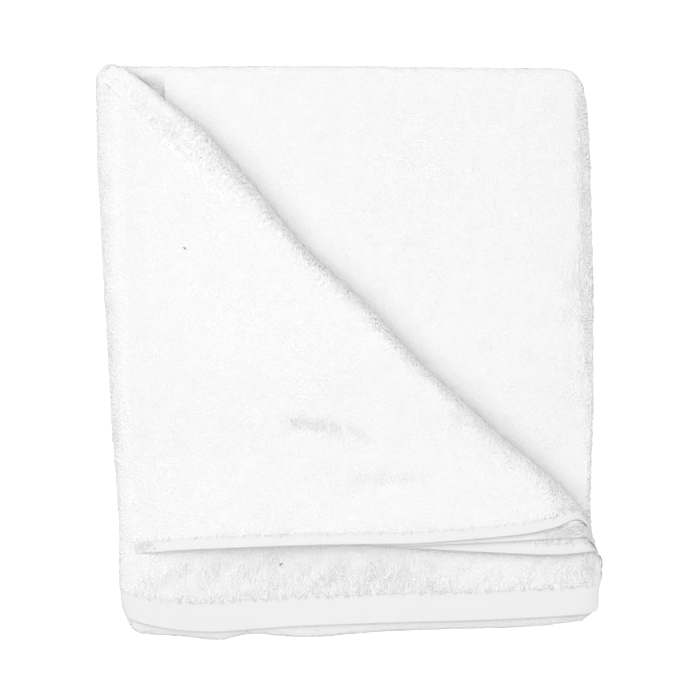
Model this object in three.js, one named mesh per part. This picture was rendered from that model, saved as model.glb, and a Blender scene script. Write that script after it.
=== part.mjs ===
// A bath towel of white terry, folded into a flat stack with one corner of its upper sections turned over.
//
// The cloth is one rectangle. Folded lengthwise it is two plies wide, and it then goes back and forth in
// sections: section 1 on top, section 2 below it, section 3 below that, and a short tail, section 4, tucked
// under the back. The back right corner of sections 1 and 2 is turned over a diagonal and lies on top.
//
// Frame: millimetres, +X right, +Y to the back, +Z up, the stack's foot at z = 0.
// u runs across the cloth and v along it. Depth is measured forward from the back edge of the stack, and
// across is measured to the right from its left edge.
import * as THREE from "three";

// The cloth as it is cut
const CUT_WIDTH = 700;
const CUT_LENGTH = 1400;
const PILE_THICKNESS = 2.5;
const HEM_THICKNESS = 1.8;
const SIDE_HEM = 8;
const END_HEM = 21;
const HEM_STEP = 3;

// The folds
const PITCH = 3.6; // from one ply to the next
const SECTION = 2 * PITCH; // two plies
const HEM_DEPTH = 402; // where section 1 ends, at the front
const FRONT_DEPTH = 407; // the fold of sections 2 and 3, at the front
const BACK_Y = 205;
const SIDE_ARC = (Math.PI * PITCH) / 4; // half of the lengthwise fold, measured on the cloth
const CROSS_ARC = Math.PI * PITCH; // one crosswise fold, measured on the cloth
const ACROSS_END = PITCH + CUT_WIDTH / 2 - SIDE_ARC;
const FOOT = (PITCH - PILE_THICKNESS) / 2;

const BACK_CENTRE = SECTION;
const FRONT_CENTRE = FRONT_DEPTH - SECTION;
const FIRST_FOLD = HEM_DEPTH - BACK_CENTRE;
const SECOND_FOLD = FIRST_FOLD + CROSS_ARC + FRONT_CENTRE - BACK_CENTRE;
const THIRD_FOLD = SECOND_FOLD + CROSS_ARC + FRONT_CENTRE - BACK_CENTRE;
const TAIL_DEPTH = BACK_CENTRE + CUT_LENGTH - THIRD_FOLD - CROSS_ARC;

// The turned corner: its crease starts at the back left and runs to the right
const CREASE_START = new THREE.Vector2(-174.8, 191.9);
const CREASE_ALONG = new THREE.Vector2(0.7227, -0.6911);
const CREASE_ACROSS = new THREE.Vector2(0.6911, 0.7227);
const CREASE_TOP = 4 * SECTION - FOOT; // the height that the corner is turned about
const CREASE_RADIUS = SECTION;
const CREASE_LOFT = 1.6; // how far the turned corner stands off what it lies on

// Towards the front each ply turns at a radius of its own, so that the side hems fan out
const FAN = { from: 110, to: 353, spread: 1.4, least: -0.6 * PITCH, draw: 0.5 * PITCH };

// How the sides of the stack run, from back to front
const SIDES = [
  { depth: 0, left: -181.5, upperRight: 172, lowerRight: 173.5 },
  { depth: 60, left: -180.7, upperRight: 173.5, lowerRight: 174.2 },
  { depth: 130, left: -177.8, upperRight: 175.5, lowerRight: 175.6 },
  { depth: 200, left: -173.9, upperRight: 177.5, lowerRight: 176 },
  { depth: 265, left: -169.9, upperRight: 179, lowerRight: 175 },
  { depth: 322, left: -165.8, upperRight: 180.5, lowerRight: 173 },
  { depth: 365, left: -165.4, upperRight: 182.5, lowerRight: 173 },
  { depth: 410, left: -163.4, upperRight: 181.5, lowerRight: 173 },
];

// How far forward the end hem of section 1 and the fold under it reach, from left to right
const FRONTS = [
  { across: 0, hem: 397, fold: 405 },
  { across: 20, hem: 403, fold: 407 },
  { across: 41, hem: 406, fold: 408.6 },
  { across: 63, hem: 406.8, fold: 412 },
  { across: 89, hem: 405, fold: 407.5 },
  { across: 122, hem: 402.8, fold: 409.7 },
  { across: 156, hem: 401.4, fold: 408.2 },
  { across: 196, hem: 400, fold: 404.6 },
  { across: 263, hem: 398.2, fold: 403.6 },
  { across: 304, hem: 396.4, fold: 402 },
  { across: 351, hem: 393, fold: 398 },
];

// How far the roll along the crease stands out, against its own radius
const ROLL = [
  { along: 0, swell: 1.05 },
  { along: 18, swell: 1.25 },
  { along: 42, swell: 1.48 },
  { along: 75, swell: 1.72 },
  { along: 100, swell: 1.55 },
  { along: 130, swell: 1.35 },
  { along: 162, swell: 1.03 },
  { along: 190, swell: 0.85 },
  { along: 250, swell: 0.95 },
  { along: 281, swell: 0.78 },
  { along: 315, swell: 0.73 },
  { along: 350, swell: 0.82 },
  { along: 385, swell: 0.88 },
  { along: 410, swell: 1.07 },
  { along: 440, swell: 1.19 },
  { along: 467, swell: 1.05 },
];

// How the stack slopes off towards its edges: the share of the height lost there, and over which width
const SLOPES = {
  left: { share: 0.25, width: 40 },
  right: { share: 0.42, width: 58 },
  back: { share: 0.15, width: 30 },
  front: { share: 0.42, width: 75 },
};

// Where the cloth goes down from the tail's end to the surface that it lies on
const STEP_DOWN = { from: TAIL_DEPTH + 4, to: TAIL_DEPTH + 104 };

// How far the top rises and falls, as a share of its height, and over which lengths
const WAVE = { share: 0.02, across: 31, along: 37 };

// The hollow at the back left, below the roll
const HOLLOW = { left: -166, right: -133, edge: 3, back: 198, front: 158, blur: 12, share: 0.55 };

// Rounded corners
const LOWER_BACK_CORNER = 17;
const UPPER_BACK_CORNER = 7;
const FRONT_RIGHT_CORNER = 18;
const FRONT_LEFT_CORNER = 10;

// How finely the cloth is cut up
const ARC_STEPS = 4;
const ROLL_STEPS = 5;
const WIDE_STEP = 46;
const EDGE_STEP = 20;
const SNAP = 0.3;

function smooth(from, to, value) {
  const s = THREE.MathUtils.clamp((value - from) / (to - from), 0, 1);
  return s * s * (3 - 2 * s);
}

// A smooth curve through one column of a table
function tableAt(rows, key, column, at) {
  const last = rows.length - 1;
  const x = THREE.MathUtils.clamp(at, rows[0][key], rows[last][key]);
  let i = 0;
  while (i < last - 1 && rows[i + 1][key] < x) {
    i += 1;
  }
  const slope = (j, k) => (rows[k][column] - rows[j][column]) / (rows[k][key] - rows[j][key]);
  const span = rows[i + 1][key] - rows[i][key];
  const startSlope = slope(Math.max(i - 1, 0), i + 1);
  const endSlope = slope(i, Math.min(i + 2, last));
  const s = (x - rows[i][key]) / span;
  const rest = 1 - s;
  return (
    rows[i][column] * (1 + 2 * s) * rest * rest +
    rows[i + 1][column] * (3 - 2 * s) * s * s +
    span * (startSlope * s * rest * rest - endSlope * rest * s * s)
  );
}

// The lengthwise fold: how far across a point is, and how far it is off the middle of its two plies
function foldAcross(u, offset) {
  const fromFold = CUT_WIDTH / 2 - u;
  const radius = PITCH / 2 + offset;
  if (Math.abs(fromFold) < SIDE_ARC) {
    const turn = fromFold / (PITCH / 2);
    return { across: PITCH - radius * Math.cos(turn), lift: radius * Math.sin(turn) };
  }
  const across = PITCH + Math.abs(fromFold) - SIDE_ARC;
  return { across, lift: Math.sign(fromFold) * radius };
}

// The crosswise folds: depth and height of the middle of the two plies, and the way their upper side faces
function foldAlong(v) {
  const fold = (start, depth, height, outward, facing) => {
    const turn = ((v - start) / CROSS_ARC) * Math.PI;
    const reach = outward * Math.sin(turn);
    const rise = Math.cos(turn);
    return {
      depth: depth + PITCH * reach,
      height: height + PITCH * rise,
      facingDepth: facing * reach,
      facingUp: facing * rise,
    };
  };
  const flat = (depth, height, facingUp) => ({ depth, height, facingDepth: 0, facingUp });
  if (v < FIRST_FOLD) {
    return flat(HEM_DEPTH - v, 3.5 * SECTION, 1);
  }
  if (v < FIRST_FOLD + CROSS_ARC) {
    return fold(FIRST_FOLD, BACK_CENTRE, 3 * SECTION, -1, 1);
  }
  if (v < SECOND_FOLD) {
    return flat(BACK_CENTRE + v - FIRST_FOLD - CROSS_ARC, 2.5 * SECTION, -1);
  }
  if (v < SECOND_FOLD + CROSS_ARC) {
    return fold(SECOND_FOLD, FRONT_CENTRE, 2 * SECTION, 1, -1);
  }
  if (v < THIRD_FOLD) {
    return flat(FRONT_CENTRE - v + SECOND_FOLD + CROSS_ARC, 1.5 * SECTION, 1);
  }
  if (v < THIRD_FOLD + CROSS_ARC) {
    return fold(THIRD_FOLD, BACK_CENTRE, SECTION, -1, 1);
  }
  return flat(BACK_CENTRE + v - THIRD_FOLD - CROSS_ARC, 0.5 * SECTION, -1);
}

// Pulls a square corner in to a round one: the distances from its two edges go in and come out
function roundCorner(fromSide, fromEnd, radius) {
  if (fromSide >= radius || fromEnd >= radius) {
    return [fromSide, fromEnd];
  }
  const side = 1 - fromSide / radius;
  const end = 1 - fromEnd / radius;
  const roundSide = side * Math.sqrt(1 - (end * end) / 2);
  const roundEnd = end * Math.sqrt(1 - (side * side) / 2);
  return [radius * (1 - roundSide), radius * (1 - roundEnd)];
}

// Where a point of the stack lies in plan, before the corner is turned
function planOf(across, depth, v) {
  const lower = smooth(SECOND_FOLD - 60, SECOND_FOLD + 120, v);
  const backCorner = THREE.MathUtils.lerp(UPPER_BACK_CORNER, LOWER_BACK_CORNER, lower);
  let fromRight = ACROSS_END - across;
  let fromLeft = across;
  let fromFront = FRONT_DEPTH - depth;
  let fromBack = depth;
  if (fromBack < FRONT_DEPTH / 2) {
    [fromRight, fromBack] = roundCorner(fromRight, fromBack, backCorner);
  } else {
    [fromRight, fromFront] = roundCorner(fromRight, fromFront, FRONT_RIGHT_CORNER);
    [fromLeft, fromFront] = roundCorner(fromLeft, fromFront, FRONT_LEFT_CORNER);
    fromBack = FRONT_DEPTH - fromFront;
  }
  const roundAcross = across + (fromLeft - across) + (ACROSS_END - across - fromRight);
  const below = smooth(FIRST_FOLD - 100, FIRST_FOLD + CROSS_ARC + 100, v);
  const hemReach = tableAt(FRONTS, "across", "hem", roundAcross) / HEM_DEPTH;
  const foldReach = tableAt(FRONTS, "across", "fold", roundAcross) / FRONT_DEPTH;
  const down = fromBack * THREE.MathUtils.lerp(hemReach, foldReach, below);
  const left = tableAt(SIDES, "depth", "left", down);
  const upperRight = tableAt(SIDES, "depth", "upperRight", down);
  const lowerRight = tableAt(SIDES, "depth", "lowerRight", down);
  const right = THREE.MathUtils.lerp(upperRight, lowerRight, lower);
  return new THREE.Vector2(left + ((right - left) * roundAcross) / ACROSS_END, BACK_Y - down);
}

// How a point lies to the crease: along it, past it, and the length of cloth that its turn takes
function creaseOf(plan, depth, height) {
  const from = plan.clone().sub(CREASE_START);
  const free = THREE.MathUtils.clamp((depth - FAN.from) / (FAN.to - FAN.from), 0, 1) ** 2;
  const radius = CREASE_TOP - height;
  const own = FAN.spread * Math.max(radius - CREASE_RADIUS, FAN.least) + FAN.draw;
  const turn = Math.PI * (CREASE_RADIUS + free * own);
  return { along: from.dot(CREASE_ALONG), past: from.dot(CREASE_ACROSS), radius, turn };
}

// Turns the corner over its crease
function turnCorner(plan, depth, height) {
  const crease = creaseOf(plan, depth, height);
  if (crease.past <= 0) {
    return new THREE.Vector3(plan.x, plan.y, height);
  }
  let out = crease.turn - crease.past;
  let up = CREASE_TOP + crease.radius + CREASE_LOFT;
  if (crease.past < crease.turn) {
    const angle = (Math.PI * crease.past) / crease.turn;
    out = tableAt(ROLL, "along", "swell", crease.along) * crease.radius * Math.sin(angle);
    up = CREASE_TOP - crease.radius * Math.cos(angle) + (CREASE_LOFT * (1 - Math.cos(angle))) / 2;
  }
  const x = CREASE_START.x + CREASE_ALONG.x * crease.along + CREASE_ACROSS.x * out;
  const y = CREASE_START.y + CREASE_ALONG.y * crease.along + CREASE_ACROSS.y * out;
  return new THREE.Vector3(x, y, up);
}

// One at an edge, nothing from its width on
function nearEdge(distance, slope) {
  const s = THREE.MathUtils.clamp(1 - distance / slope.width, 0, 1.2);
  return slope.share * s * s;
}

// One inside the hollow, nothing outside it
function inHollow(x, y) {
  const fromLeft = smooth(HOLLOW.left - HOLLOW.blur, HOLLOW.left, x);
  const fromRight = 1 - smooth(HOLLOW.right - HOLLOW.edge, HOLLOW.right, x);
  const fromFront = smooth(HOLLOW.front - HOLLOW.blur, HOLLOW.front, y);
  const fromBack = 1 - smooth(HOLLOW.back - HOLLOW.edge, HOLLOW.back, y);
  return fromLeft * fromRight * fromFront * fromBack;
}

// The share of its height that the stack keeps at a place; lower is one for sections 3 and 4
function heightShare(x, y, lower) {
  const down = BACK_Y - y;
  const left = tableAt(SIDES, "depth", "left", down);
  const right = tableAt(SIDES, "depth", "upperRight", down);
  let share = (1 - nearEdge(x - left, SLOPES.left)) * (1 - nearEdge(right - x, SLOPES.right));
  share *= (1 - nearEdge(down, SLOPES.back)) * (1 - nearEdge(FRONT_DEPTH - down, SLOPES.front));
  share *= 1 + WAVE.share * Math.sin(x / WAVE.across) * Math.sin(y / WAVE.along);
  return share * (1 - HOLLOW.share * inHollow(x, y) * lower);
}

// Where a point of the flat cloth lies in the stack; offset is its distance from the middle of the cloth
function lay(u, v, offset) {
  const side = foldAcross(u, offset);
  const path = foldAlong(v);
  const depth = path.depth + side.lift * path.facingDepth;
  const height = path.height + side.lift * path.facingUp - FOOT;
  const plan = planOf(side.across, depth, v);
  const upper = v < SECOND_FOLD + CROSS_ARC / 2;
  const point = upper ? turnCorner(plan, depth, height) : new THREE.Vector3(plan.x, plan.y, height);
  point.z -= SECTION * smooth(STEP_DOWN.from, STEP_DOWN.to, BACK_Y - point.y);
  point.z *= heightShare(point.x, point.y, upper ? 0 : 1);
  return point;
}

// How far past the crease a point of the flat cloth is, less a share of its turn
function pastCrease(u, v, share) {
  if (v > SECOND_FOLD) {
    return -SECTION;
  }
  const side = foldAcross(u, 0);
  const path = foldAlong(v);
  const depth = path.depth + side.lift * path.facingDepth;
  const height = path.height + side.lift * path.facingUp - FOOT;
  const crease = creaseOf(planOf(side.across, depth, v), depth, height);
  return crease.past - share * crease.turn;
}

function thicknessAt(u, v) {
  const fromSide = Math.min(u, CUT_WIDTH - u);
  const fromEnd = Math.min(v, CUT_LENGTH - v);
  const pile = smooth(SIDE_HEM, SIDE_HEM + HEM_STEP, fromSide) * smooth(END_HEM, END_HEM + HEM_STEP, fromEnd);
  return THREE.MathUtils.lerp(HEM_THICKNESS, PILE_THICKNESS, pile);
}

// Even steps from each stop to the next
function stepsBetween(stops) {
  const lines = [stops[0].at];
  for (let i = 1; i < stops.length; i += 1) {
    const start = stops[i - 1].at;
    const count = Math.max(1, Math.round((stops[i].at - start) / stops[i].step));
    for (let k = 1; k <= count; k += 1) {
      lines.push(start + ((stops[i].at - start) * k) / count);
    }
  }
  return lines;
}

// The lines across the cloth, the same for both plies: the hems, the fold and the hollow's steep side have
// lines of their own
function columnLines() {
  const hollowSide = HOLLOW.right - SIDES[0].left;
  const lines = stepsBetween([
    { at: PITCH },
    { at: hollowSide - 2 * HOLLOW.edge, step: EDGE_STEP },
    { at: hollowSide + HOLLOW.edge, step: HOLLOW.edge },
    { at: ACROSS_END - SLOPES.right.width, step: WIDE_STEP },
    { at: ACROSS_END - SIDE_HEM - HEM_STEP, step: EDGE_STEP },
    { at: ACROSS_END - SIDE_HEM, step: HEM_STEP },
    { at: ACROSS_END, step: SIDE_HEM },
  ]).map((across) => across - PITCH + SIDE_ARC);
  const middle = CUT_WIDTH / 2;
  const arcStep = (2 * SIDE_ARC) / ARC_STEPS;
  const arc = stepsBetween([{ at: middle - SIDE_ARC }, { at: middle + SIDE_ARC, step: arcStep }]);
  const upper = lines.map((fromFold) => middle - fromFold).reverse();
  const lower = lines.map((fromFold) => middle + fromFold);
  return [...upper, ...arc.slice(1, -1), ...lower];
}

// The lines along the cloth, at the same depths in each section: the hems and the folds have lines of
// their own
function rowLines() {
  const depths = stepsBetween([
    { at: BACK_CENTRE },
    { at: SLOPES.back.width, step: HOLLOW.blur },
    { at: BACK_Y - HOLLOW.front + HOLLOW.blur, step: HOLLOW.blur },
    { at: TAIL_DEPTH - END_HEM, step: WIDE_STEP },
    { at: TAIL_DEPTH, step: END_HEM },
    { at: FRONT_DEPTH - SLOPES.front.width, step: WIDE_STEP * 0.8 },
    { at: HEM_DEPTH - END_HEM - HEM_STEP, step: EDGE_STEP * 1.2 },
    { at: HEM_DEPTH - END_HEM, step: HEM_STEP },
    { at: FRONT_CENTRE, step: END_HEM },
  ]);
  const arc = stepsBetween([{ at: 0 }, { at: CROSS_ARC, step: CROSS_ARC / ARC_STEPS }]).slice(1, -1);
  const back = [...depths].reverse();
  const tail = depths.filter((depth) => depth < TAIL_DEPTH + HEM_STEP);
  const sectionStart = (fold) => fold + CROSS_ARC - BACK_CENTRE;
  return [
    0,
    ...back.map((depth) => HEM_DEPTH - depth),
    ...arc.map((along) => FIRST_FOLD + along),
    ...depths.map((depth) => sectionStart(FIRST_FOLD) + depth),
    ...arc.map((along) => SECOND_FOLD + along),
    ...back.map((depth) => SECOND_FOLD + CROSS_ARC + FRONT_CENTRE - depth),
    ...arc.map((along) => THIRD_FOLD + along),
    ...tail.map((depth) => sectionStart(THIRD_FOLD) + depth),
  ];
}

// The flat cloth as four-sided faces
function flatCloth() {
  const columns = columnLines();
  const rows = rowLines();
  const points = [];
  const faces = [];
  for (const v of rows) {
    for (const u of columns) {
      points.push([u, v]);
    }
  }
  for (let r = 0; r + 1 < rows.length; r += 1) {
    for (let c = 0; c + 1 < columns.length; c += 1) {
      const at = r * columns.length + c;
      faces.push([at, at + 1, at + 1 + columns.length, at + columns.length]);
    }
  }
  return { points, faces };
}

// Cuts the faces along the line where a function of u and v is nought
function cutAlong(cloth, measure) {
  const values = cloth.points.map(([u, v]) => {
    const value = measure(u, v);
    return Math.abs(value) < SNAP ? 0 : value;
  });
  const made = new Map();
  const crossing = (a, b) => {
    const key = a < b ? `${a} ${b}` : `${b} ${a}`;
    if (!made.has(key)) {
      const [low, high] = values[a] < 0 ? [a, b] : [b, a];
      let from = cloth.points[low];
      let to = cloth.points[high];
      for (let k = 0; k < 30; k += 1) {
        const mid = [(from[0] + to[0]) / 2, (from[1] + to[1]) / 2];
        if (measure(...mid) < 0) {
          from = mid;
        } else {
          to = mid;
        }
      }
      made.set(key, cloth.points.length);
      cloth.points.push(to);
    }
    return made.get(key);
  };
  const faces = [];
  for (const face of cloth.faces) {
    const past = [];
    const short = [];
    face.forEach((a, i) => {
      const b = face[(i + 1) % face.length];
      if (values[a] >= 0) {
        past.push(a);
      }
      if (values[a] <= 0) {
        short.push(a);
      }
      if (values[a] * values[b] < 0) {
        const c = crossing(a, b);
        past.push(c);
        short.push(c);
      }
    });
    const whole = face.every((a) => values[a] >= 0) || face.every((a) => values[a] <= 0);
    if (whole) {
      faces.push(face);
    } else {
      faces.push(past, short);
    }
  }
  cloth.faces = faces;
}

// Plies that lie on each other are split into triangles the same way, so that they don't cut one another
function splitsFrom(points, face) {
  const [u, v] = points[face[0]];
  const upperHalf = u < CUT_WIDTH / 2;
  const backward = v < FIRST_FOLD || (v > SECOND_FOLD && v < THIRD_FOLD);
  return upperHalf === backward ? 0 : 1;
}

// The folded cloth as one closed body
function towelGeometry() {
  const cloth = flatCloth();
  for (let k = 0; k <= ROLL_STEPS; k += 1) {
    cutAlong(cloth, (u, v) => pastCrease(u, v, k / ROLL_STEPS));
  }
  const count = cloth.points.length;
  const position = new Float32Array(count * 6);
  cloth.points.forEach(([u, v], i) => {
    const half = thicknessAt(u, v) / 2;
    const outer = lay(u, v, half);
    const inner = lay(u, v, -half);
    outer.toArray(position, 3 * i);
    inner.toArray(position, 3 * (count + i));
  });
  const index = [];
  const edges = new Map();
  for (const face of cloth.faces) {
    const first = splitsFrom(cloth.points, face);
    const turned = [...face.slice(first), ...face.slice(0, first)];
    for (let k = 1; k + 1 < face.length; k += 1) {
      index.push(turned[0], turned[k + 1], turned[k]);
      index.push(count + turned[0], count + turned[k], count + turned[k + 1]);
    }
    face.forEach((a, i) => {
      edges.set(`${a} ${face[(i + 1) % face.length]}`, [a, face[(i + 1) % face.length]]);
    });
  }
  for (const [a, b] of edges.values()) {
    if (!edges.has(`${b} ${a}`)) {
      index.push(a, b, count + a);
      index.push(b, count + b, count + a);
    }
  }
  const geometry = new THREE.BufferGeometry();
  geometry.setAttribute("position", new THREE.BufferAttribute(position, 3));
  geometry.setIndex(index);
  return geometry;
}

const terry = new THREE.MeshStandardMaterial({ color: 0xf3f2ef, roughness: 0.95, metalness: 0 });

const towel = new THREE.Mesh(towelGeometry(), terry);
towel.name = "towel";

const group = new THREE.Group();
group.add(towel);
export default group;
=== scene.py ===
"""A white terry bath towel, folded into a stack with one corner of its upper sections turned over.

The cloth is made flat, as a slab with a pile and flat woven hems, and then laid into its folds. Cloth sizes
are in millimetres until a piece is finished, and every finished piece is in metres.
"""

import math

import bmesh
import bpy
import numpy as np
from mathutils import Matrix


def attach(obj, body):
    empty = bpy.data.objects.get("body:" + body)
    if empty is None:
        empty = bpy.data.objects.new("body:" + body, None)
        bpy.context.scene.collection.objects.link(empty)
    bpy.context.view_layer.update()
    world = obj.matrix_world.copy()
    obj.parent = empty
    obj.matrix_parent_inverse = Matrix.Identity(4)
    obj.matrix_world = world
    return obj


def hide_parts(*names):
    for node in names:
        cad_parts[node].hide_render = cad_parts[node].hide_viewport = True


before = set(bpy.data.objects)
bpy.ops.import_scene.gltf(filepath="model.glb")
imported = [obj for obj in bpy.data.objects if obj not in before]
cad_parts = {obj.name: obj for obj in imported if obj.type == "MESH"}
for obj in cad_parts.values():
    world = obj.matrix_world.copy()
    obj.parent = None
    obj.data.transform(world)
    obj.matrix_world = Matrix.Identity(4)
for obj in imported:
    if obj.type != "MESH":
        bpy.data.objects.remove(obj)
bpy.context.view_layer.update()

bl_info = {
    "name": "Folded bath towel",
    "version": (1, 0, 0),
    "blender": (4, 5, 0),
    "location": "3D View > Sidebar > Towel",
    "description": "Makes a folded terry bath towel with a turned corner, and a plain stage for it",
    "category": "Add Mesh",
}

NODE = "towel"
BODY = "root"
MM = 0.001

# The cloth as it is cut, in millimetres
CUT_WIDTH = 700
CUT_LENGTH = 1400
SIDE_HEM = 8
END_HEM = 21
HEM_STEP = 1.4

# The folds: the pitch is from one ply to the next, a section is two plies, and an arc is a fold's length
# measured on the cloth
PITCH = 3.6
SECTION = 2 * PITCH
FOOT_THICKNESS = 2.5
HEM_DEPTH = 402
FRONT_DEPTH = 407
BACK_Y = 205
SIDE_ARC = math.pi * PITCH / 4
CROSS_ARC = math.pi * PITCH
ACROSS_END = PITCH + CUT_WIDTH / 2 - SIDE_ARC
FOOT = (PITCH - FOOT_THICKNESS) / 2
BACK_CENTRE = SECTION
FRONT_CENTRE = FRONT_DEPTH - SECTION
FIRST_FOLD = HEM_DEPTH - BACK_CENTRE
SECOND_FOLD = FIRST_FOLD + CROSS_ARC + FRONT_CENTRE - BACK_CENTRE
THIRD_FOLD = SECOND_FOLD + CROSS_ARC + FRONT_CENTRE - BACK_CENTRE
TAIL_DEPTH = BACK_CENTRE + CUT_LENGTH - THIRD_FOLD - CROSS_ARC

# Where along the cloth the upper sections' tables give way to the lower ones', and the hem's to the fold's
TO_LOWER = (SECOND_FOLD - 60, SECOND_FOLD + 120)
TO_FOLD = (FIRST_FOLD - 100, FIRST_FOLD + CROSS_ARC + 100)

# The side hem that is tucked under at the right: its width, how far in its edge sits, over which width the
# cloth gives, how much the lower ply is drawn in, and where along the cloth the two tucks end and start
TUCK = 14
TUCK_EDGE = 3.3
TUCK_EASE = 110
TUCK_SHORT = 13.5
TUCK_STRIP = (28, 52)
TUCK_TRIANGLE = (SECOND_FOLD + CROSS_ARC + 20, SECOND_FOLD + CROSS_ARC + 70)

# The turned corner: its crease starts at the back left and runs to the front right
CREASE_START = np.array((-174.8, 191.9))
CREASE_ALONG = np.array((0.7227, -0.6911))
CREASE_ACROSS = np.array((0.6911, 0.7227))
CREASE_TOP = 4 * SECTION - FOOT
CREASE_RADIUS = SECTION
CREASE_LOFT = 1.6
CREASE_SQUARE = 0.58

# The turned plies, and between which shares of the way from one to the next its own turn gives way
TURNED_PLIES = 4
PLY_EDGE = (0.4, 0.6)

# The cloth that the turn takes from each ply, past the usual: depth, and from the top ply to the lowest
FAN = np.array((
    (0, 0, 0, 0, 0),
    (160, 0, 0, 0, 0),
    (210, 0, -2.6, -5.2, -5.4),
    (240, 2.2, -1.6, -8.3, -8.6),
    (265, 4.4, -0.8, -10.8, -11.2),
    (285, 7, -0.2, -12.8, -13.3),
    (300, 11, 0.2, -14.4, -14.9),
    (316, 18.6, 0.4, -15.8, -16.3),
    (332, 20, 0.4, -16, -16.5),
    (353, 15, 0.2, -13, -14),
))

# How the sides of the stack run: depth from the back, left side, right side of the upper and lower sections,
# and the line on the right that the top slopes down to
SIDES = np.array((
    (0, -181.3, 178.5, 167, 170),
    (12, -181.6, 178, 168, 170.8),
    (30, -181.4, 177.1, 171.2, 172),
    (60, -180.9, 176.5, 173.4, 172.8),
    (130, -177.4, 176.9, 175.1, 174.8),
    (200, -173.4, 178.9, 176.3, 177),
    (265, -169.9, 180.3, 175.2, 178.8),
    (322, -165.8, 181, 173, 180.5),
    (365, -165.4, 182.2, 173, 182.5),
    (378, -164.8, 180.4, 173, 181),
    (388, -163.8, 180.2, 173, 180.4),
    (397, -160.4, 180.4, 173, 180.4),
    (404, -157, 180.6, 173, 180.6),
    (414, -153, 180.6, 173, 180.6),
))

# How far forward the end hem and the fold under it reach: distance across, hem, fold
FRONTS = np.array((
    (0, 397, 408),
    (20, 403, 409.3),
    (41, 406, 410.8),
    (63, 406.8, 413),
    (89, 405, 408.5),
    (122, 402.8, 411),
    (156, 401.4, 409.7),
    (196, 400, 406.5),
    (263, 398.2, 404.8),
    (304, 396.4, 403.2),
    (335, 394.4, 399.6),
    (351, 393, 397),
))

# How far back the folds reach past the straight line: distance across, lower sections, turned sections
BACKS = np.array((
    (0, 1, 0),
    (65, 1, 0.4),
    (108, 1.3, 2),
    (151, 1.5, 2.5),
    (209, 1, 3.3),
    (247, 0.6, 4.1),
    (286, 0, 3.5),
    (304, 0, 2.6),
    (324, 0, 1),
    (351, 0, 0.4),
))
BACK_EASE = 180

# How far the roll stands out against its own radius: distance along the crease, swell
ROLL = np.array((
    (0, 1.2),
    (18, 1.35),
    (42, 1.48),
    (75, 1.72),
    (100, 1.57),
    (130, 1.4),
    (162, 1.08),
    (190, 0.91),
    (250, 1.02),
    (281, 0.84),
    (315, 0.78),
    (350, 0.88),
    (385, 0.93),
    (410, 1.1),
    (440, 1.16),
    (467, 0.9),
    (480, 0.5),
    (490, 0.25),
))

# Soft troughs pressed into the stack: start x and y, end x and y, width, share of the height
TROUGHS = (
    (-46, -51, 18, -64, 8, 0.024),
    (-8, -94, 54, -90, 8, 0.029),
    (100, 120, 125, 10, 26, 0.06),
    (-120, 60, -60, 130, 30, 0.03),
    (30, 175, 140, 160, 14, 0.04),
)

# How the stack slopes off towards its edges: share of the height lost, and over which width. Past the edge
# it goes on up to a last share of that width.
SLOPE_LEFT = (0.26, 13)
SLOPE_RIGHT = (0.36, 60)
RIM_RIGHT = (0.22, 14)
SLOPE_BACK = (0.12, 40)
SLOPE_FRONT = (0.5, 85)
SLOPE_PAST = 1.2

# Where the stack steps down in front of the tail, and how its top rises and falls
STEP_DOWN = (TAIL_DEPTH + 4, TAIL_DEPTH + 104)
WAVE_SHARE, WAVE_ACROSS, WAVE_ALONG = 0.02, 31, 37

# The hollow at the back left, below the roll
HOLLOW_LEFT, HOLLOW_RIGHT, HOLLOW_EDGE = -166, -132.5, 1.5
HOLLOW_BACK, HOLLOW_FRONT, HOLLOW_BLUR = 203, 158, 12
HOLLOW_SLOPE = 16
HOLLOW_SHARE = 0.32

# How far the turned corner is pressed down at its left fold, and over which width; and how far the fold
# itself sinks into the stack below
FLAP_PRESS = 0.8
FLAP_PRESS_FROM = 8
FLAP_PRESS_WIDTH = 90
FOLD_PRESS = 0.92
FOLD_PRESS_WIDTH = 24
FOLD_SINK = 1.9
FOLD_SINK_RATE = 3

# The cloth's own slight waviness
WRINKLE_SEED = 11
WRINKLE_COUNT = 14
WRINKLE_SHORTEST, WRINKLE_LONGEST = 14, 60
WRINKLE_HEIGHT = 0.16

# The radii of the stack's corners
LOWER_BACK_CORNER, UPPER_BACK_CORNER = 17, 7
FRONT_RIGHT_CORNER, BACK_LEFT_CORNER = 12, 9
UPPER_FRONT_LEFT_CORNER, LOWER_FRONT_LEFT_CORNER = 7, 3

# The flat cloth's own lines: from, to and the widest step between them, across and along
CLOTH_COLUMNS = (
    (0, 2, 1),
    (2, 8, 3),
    (8, 14.4, 1.1),
    (14.4, 297, 3.9),
    (297, 306, 1.5),
    (306, 343, 3.9),
    (343, 357, 1.2),
    (357, 687, 10),
    (687, 692, 2.5),
    (692, 698, 3),
    (698, 700, 1),
)
CLOTH_SECTIONS = (
    (0, 2, 1),
    (2, END_HEM, 5),
    (END_HEM, END_HEM + 3, 1),
    (END_HEM + 3, 130, 4),
    (130, FIRST_FOLD, 10),
    (FIRST_FOLD, FIRST_FOLD + CROSS_ARC, 1.2),
    (FIRST_FOLD + CROSS_ARC, SECOND_FOLD, 3.8),
    (SECOND_FOLD, SECOND_FOLD + CROSS_ARC, 1.2),
    (SECOND_FOLD + CROSS_ARC, THIRD_FOLD, 4),
    (THIRD_FOLD, THIRD_FOLD + CROSS_ARC, 1.2),
    (THIRD_FOLD + CROSS_ARC, CUT_LENGTH - END_HEM - 3, 9),
    (CUT_LENGTH - END_HEM - 3, CUT_LENGTH - END_HEM, 1.5),
    (CUT_LENGTH - END_HEM, CUT_LENGTH - 2, 5),
    (CUT_LENGTH - 2, CUT_LENGTH, 1),
)

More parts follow.
